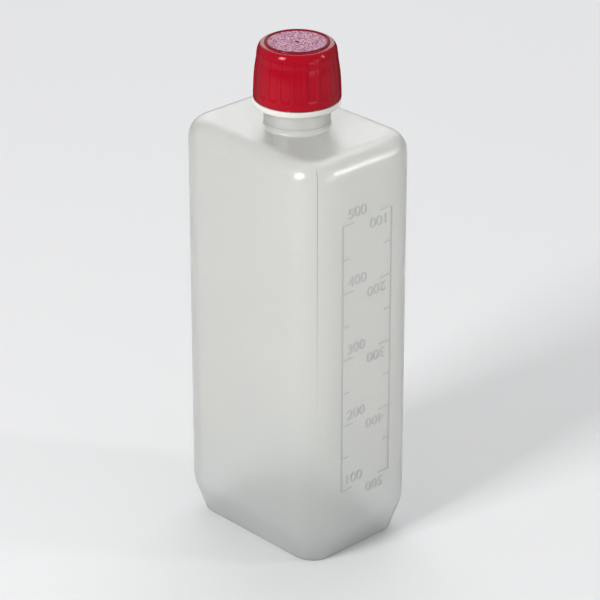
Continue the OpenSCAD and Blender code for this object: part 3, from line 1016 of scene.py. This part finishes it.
def ring_bridges_tree():
    """Geometry Nodes: small moulded bridges stood round a ring's top edge."""
    tree, given, result = new_group(
        "Ring bridges",
        "GeometryNodeTree",
        [
            ("Geometry", "NodeSocketGeometry", None),
            ("Bridges", "NodeSocketInt", 10),
            ("Radius", "NodeSocketFloat", 0.015),
            ("Level", "NodeSocketFloat", 0.1757),
            ("Size", "NodeSocketVector", (0.001, 0.0008, 0.0003)),
            ("Material", "NodeSocketMaterial", None),
        ],
        [("Geometry", "NodeSocketGeometry")],
    )
    value = given.outputs
    circle = place(tree, "GeometryNodeMeshCircle", Vertices=value["Bridges"], Radius=value["Radius"])
    lift = place(tree, "ShaderNodeCombineXYZ", Z=value["Level"])
    raised = place(
        tree, "GeometryNodeTransform", Geometry=circle.outputs["Mesh"], Translation=lift.outputs[0]
    )
    index = tree.nodes.new("GeometryNodeInputIndex").outputs[0]
    turn = maths(tree, "MULTIPLY", maths(tree, "DIVIDE", index, value["Bridges"]), 2 * math.pi)
    facing = place(tree, "ShaderNodeCombineXYZ", Z=turn)
    block = place(tree, "GeometryNodeMeshCube", Size=value["Size"])
    bridges = place(
        tree,
        "GeometryNodeInstanceOnPoints",
        Points=raised.outputs["Geometry"],
        Instance=block.outputs["Mesh"],
        Rotation=facing.outputs[0],
    )
    both = tree.nodes.new("GeometryNodeJoinGeometry")
    tree.links.new(value["Geometry"], both.inputs[0])
    tree.links.new(bridges.outputs["Instances"], both.inputs[0])
    real = place(tree, "GeometryNodeRealizeInstances", Geometry=both.outputs[0])
    finished = place(tree, "GeometryNodeSetMaterial", Geometry=real.outputs[0], Material=value["Material"])
    tree.links.new(finished.outputs[0], result.inputs[0])
    return tree


def make_ring(material):
    """The tamper ring with its inner lip and the stubs of its bridges."""
    bottom = ring_low.z
    top = ring_high.z - BRIDGE_HEIGHT
    outline = [(RING_LIP, bottom + 0.1 * MM), (RING_LIP + 0.1 * MM, bottom)]
    outline += arc((RING_OUTSIDE - 0.9 * MM, bottom + 0.9 * MM), 0.9 * MM, -90, 0, 8)
    outline += arc((RING_OUTSIDE - 0.15 * MM, top - 0.15 * MM), 0.15 * MM, 0, 90, 3)
    outline += [
        (RING_INSIDE + 0.1 * MM, top),
        (RING_INSIDE, top - 0.1 * MM),
        (RING_INSIDE, bottom + 1.0 * MM),
        (RING_LIP + 0.1 * MM, bottom + 0.72 * MM),
        (RING_LIP, bottom + 0.6 * MM),
        (RING_LIP, bottom + 0.1 * MM),
    ]
    ring = lathe("tamper_ring_shell", outline, even_angles(RING_POINTS_ROUND), closed_ends=False)
    point_outwards(ring)
    run_nodes(
        ring,
        ring_bridges_tree(),
        {
            "Bridges": RING_BRIDGES,
            "Radius": RING_INSIDE + 0.75 * MM,
            "Level": top + (BRIDGE_HEIGHT - BRIDGE_SINK) / 2,
            "Size": (BRIDGE_DEPTH, BRIDGE_WIDTH, BRIDGE_HEIGHT + BRIDGE_SINK),
            "Material": material,
        },
    )
    smooth(ring)
    return ring


def make_liner(material):
    """The foam liner, with the groove that the neck's lip has pressed into its lower face."""
    radius = liner_high.x
    bottom, top = liner_low.z, liner_high.z
    lip_middle = (NECK_RADIUS + NECK_BORE) / 2
    outline = [(3 * MM, bottom), (8 * MM, bottom), (NECK_BORE - 0.2 * MM, bottom)]
    groove = arc((lip_middle, 0.0), LINER_GROOVE_HALF, 180, 0, 6)
    outline += [(r, bottom + LINER_GROOVE_FLATTEN * rise) for r, rise in groove]
    outline += [(NECK_RADIUS + 0.1 * MM, bottom)]
    outline += arc((radius - 0.15 * MM, bottom + 0.15 * MM), 0.15 * MM, -90, 0, 4)
    outline += arc((radius - 0.15 * MM, top - 0.15 * MM), 0.15 * MM, 0, 90, 4)
    outline += [(8 * MM, top), (3 * MM, top)]
    liner = lathe("seal_liner_disc", outline, even_angles(LINER_POINTS_ROUND))
    point_outwards(liner)
    liner.data.materials.append(material)
    smooth(liner)
    return liner


# ================================================================ the stage
def make_floor():
    """A plain pale floor."""
    mesh = bpy.data.meshes.new("floor")
    half = 6.0
    corners = [(-half, -half, 0), (half, -half, 0), (half, half, 0), (-half, half, 0)]
    mesh.from_pydata(corners, [], [(0, 1, 2, 3)])
    floor = bpy.data.objects.new("floor", mesh)
    bpy.context.scene.collection.objects.link(floor)
    material, _, shader = new_material("floor_board")
    shader.inputs["Base Color"].default_value = (0.685, 0.685, 0.69, 1)
    shader.inputs["Roughness"].default_value = 0.8
    shader.inputs["Specular IOR Level"].default_value = 0.25
    mesh.materials.append(material)


def softbox(name, turn, elevation, distance, size, power):
    """A soft lamp aimed at the bottle's middle; turn is in degrees to the right of the camera."""
    lamp = bpy.data.lights.new(name, "AREA")
    lamp.shape = "RECTANGLE"
    lamp.size, lamp.size_y = size
    lamp.energy = power
    holder = bpy.data.objects.new(name, lamp)
    bpy.context.scene.collection.objects.link(holder)
    around = CAMERA_AZIMUTH - math.pi / 2 + math.radians(turn)
    rise = math.radians(elevation)
    away = Vector((math.cos(around) * math.cos(rise), math.sin(around) * math.cos(rise), math.sin(rise)))
    holder.location = Vector((0, 0, LAMP_AIM_HEIGHT)) + away * distance
    holder.rotation_euler = away.to_track_quat("Z", "Y").to_euler()


def make_light():
    """Soft studio light: a lamp on either side, a low one in front, two broad ones behind, a pale room."""
    softbox("lamp_left", -46, 29, 1.3, (0.34, 0.44), 12.4)
    softbox("lamp_right", 80, 21, 1.3, (0.14, 0.4), 3)
    softbox("lamp_fill", 50, 6, 1.4, (0.9, 0.35), 2.4)
    softbox("lamp_back", 180, 24, 1.6, (1.8, 0.7), 5)
    softbox("lamp_top", 170, 60, 1.5, (1.2, 1.0), 5)
    world = bpy.data.worlds.new("room")
    world.use_nodes = True
    background = world.node_tree.nodes["Background"]
    background.inputs["Color"].default_value = (0.98, 0.99, 1.0, 1)
    background.inputs["Strength"].default_value = 0.56
    bpy.context.scene.world = world


def make_camera():
    """The camera, placed so that the aim point on the bottle's axis falls on its pixel."""
    azimuth, elevation = CAMERA_AZIMUTH, CAMERA_ELEVATION
    back = Vector((
        math.sin(azimuth) * math.cos(elevation),
        -math.cos(azimuth) * math.cos(elevation),
        math.sin(elevation),
    ))
    right = (-back).cross(Vector((0, 0, 1))).normalized()
    up = right.cross(-back)
    focal_pixels = CAMERA_LENS / SENSOR_WIDTH * PICTURE_SIZE
    across = (AIM_PIXEL[0] - PICTURE_SIZE / 2) / focal_pixels
    down = (AIM_PIXEL[1] - PICTURE_SIZE / 2) / focal_pixels
    place_at = Vector((0, 0, AIM_HEIGHT)) - CAMERA_DISTANCE * (-back + across * right - down * up)
    data = bpy.data.cameras.new("camera")
    data.lens = CAMERA_LENS
    data.sensor_width = SENSOR_WIDTH
    camera = bpy.data.objects.new("camera", data)
    bpy.context.scene.collection.objects.link(camera)
    camera.matrix_world = Matrix.Translation(place_at) @ Matrix((right, up, back)).transposed().to_4x4()
    bpy.context.scene.camera = camera


# ================================================================ put together
make_camera()
make_light()
make_floor()

for builder, finish, node, body, slot in (
    (make_bottle, bottle_material, "bottle", "bottle", "bottle_plastic"),
    (make_cap, cap_material, "screw_cap", "cap", "cap_plastic"),
    (make_liner, liner_material, "seal_liner", "liner", "liner_foam"),
    (make_ring, ring_material, "tamper_ring", "ring", "ring_plastic"),
):
    piece = builder(finish())
    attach(piece, body)
    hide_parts(node)

bpy.context.scene.view_settings.view_transform = "Standard"
